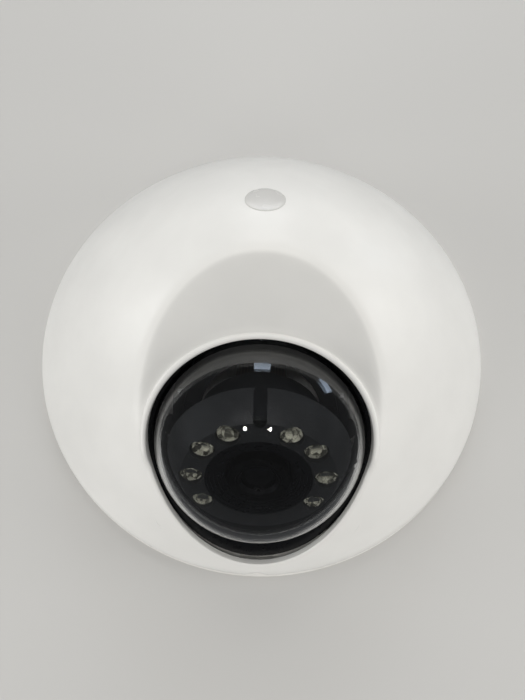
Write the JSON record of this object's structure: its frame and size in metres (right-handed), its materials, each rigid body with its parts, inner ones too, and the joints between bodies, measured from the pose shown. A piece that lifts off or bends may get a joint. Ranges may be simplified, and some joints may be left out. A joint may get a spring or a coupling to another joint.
{
  "type": "dome security camera",
  "caption": "Low white dome security camera with a slanted scoop face, a smoked bubble over an adjustable lens turret with infrared lamps, and a twist-lock mounting plate.",
  "frame": {"origin": "centre of the round back face, where the camera meets the ceiling or wall", "axes": "+Z out of the mounting surface, through the dome's crown; -Y the front, towards which the bubble leans; +X to the right seen from the front"},
  "size_m": [0.151, 0.151, 0.0666],
  "materials": {
    "white_housing": "satin moulded plastic",
    "white_cover": "fine satin texture, warm white",
    "smoked_bubble": "polished smoked polycarbonate",
    "black_trim": "fine matte black",
    "black_rubber": "matte",
    "plated_steel": "zinc plated",
    "plate_steel": "satin powder coat",
    "dark_frame": "glass-filled nylon",
    "textured_black": "spark-eroded texture",
    "washer_plastic": "acetal",
    "lens_metal": "black anodised",
    "lens_glass": "coated glass",
    "clear_lamp": "clear moulded resin",
    "lamp_die": "emitter in a bright cup",
    "circuit_board": "solder resist",
    "board_black": "black solder resist",
    "chip_black": "moulded epoxy",
    "thermal_grey": "soft pad",
    "heat_aluminium": "extruded",
    "capacitor_sleeve": "sleeved can",
    "gold_contact": "gold plated",
    "connector_cream": "nylon",
    "ribbon_film": "dark polyimide film",
    "button_red": "moulded"
  },
  "bodies": {
    "root": {"rear_housing": "white_housing", "cover_seal": "black_rubber", "jack_seal": "black_rubber", "camera_chassis": "dark_frame", "chassis_screws": "plated_steel", "friction_washer": "washer_plastic", "pan_keeper_ring": "dark_frame", "pan_keeper_screws": "plated_steel", "main_board": "circuit_board", "board_screws": "plated_steel", "processor_chip": "chip_black", "memory_chip": "chip_black", "thermal_pad": "thermal_grey", "heat_sink": "heat_aluminium", "power_transformer": "chip_black", "power_inductor": "chip_black", "capacitors": "capacitor_sleeve", "ethernet_jack": "plated_steel", "jack_insert": "dark_frame", "jack_contacts": "gold_contact", "ribbon_connector": "connector_cream", "ribbon_cable": "ribbon_film", "reset_switch": "chip_black"},
    "mounting_plate": {"mounting_plate": "plate_steel"},
    "cover": {"cover_shell": "white_cover", "bubble": "smoked_bubble", "bezel_ring": "black_trim", "bubble_gasket": "black_rubber", "retaining_ring": "black_trim", "retaining_screws": "plated_steel"},
    "release_catch": {"release_catch": "white_housing"},
    "pan": {"pan_turntable": "dark_frame", "yoke_left": "dark_frame", "yoke_right": "dark_frame", "yoke_screws": "plated_steel", "pivot_pins": "plated_steel", "tilt_washers": "washer_plastic"},
    "turret": {"turret_cover": "textured_black", "turret_frame": "dark_frame", "turret_screws": "plated_steel", "lens_shroud": "black_trim", "lamp_board": "board_black", "lamp_lenses": "clear_lamp", "lamp_emitters": "lamp_die"},
    "lens": {"lens_holder": "dark_frame", "lens_barrel": "lens_metal", "lens_trim_ring": "lens_metal", "lens_front_glass": "lens_glass", "infrared_filter": "lens_glass", "sensor_board": "circuit_board", "image_sensor": "chip_black", "sensor_screws": "plated_steel"},
    "reset_button": {"reset_button": "button_red"}
  },
  "joints": [
    {"name": "plate_twist", "type": "hinge", "parent": "root", "child": "mounting_plate", "pos_m": [0, 0, 0], "axis": [0, 0, 1], "range_deg": [0, 18]},
    {"name": "cover_lift", "type": "slide", "parent": "root", "child": "cover", "axis": [0, -0.6157, 0.788], "range_m": [0, 0.06]},
    {"name": "catch_press", "type": "slide", "parent": "root", "child": "release_catch", "axis": [0, 1, 0], "range_m": [0, 0.0008], "stiffness_N_per_m": 600},
    {"name": "reset_press", "type": "slide", "parent": "root", "child": "reset_button", "axis": [0, 0, 1], "range_m": [0, 0.0005], "stiffness_N_per_m": 400},
    {"name": "camera_pan", "type": "hinge", "parent": "root", "child": "pan", "pos_m": [0, -0.03606, 0.02829], "axis": [0, -0.6157, 0.788], "range_deg": [-175, 175]},
    {"name": "camera_tilt", "type": "hinge", "parent": "pan", "child": "turret", "pos_m": [0, -0.03606, 0.02829], "axis": [1, 0, 0], "range_deg": [-54, 22]},
    {"name": "lens_turn", "type": "hinge", "parent": "turret", "child": "lens", "pos_m": [0, -0.03606, 0.02829], "axis": [0, -0.809, 0.5878], "range_deg": [-90, 90]}
  ]
}
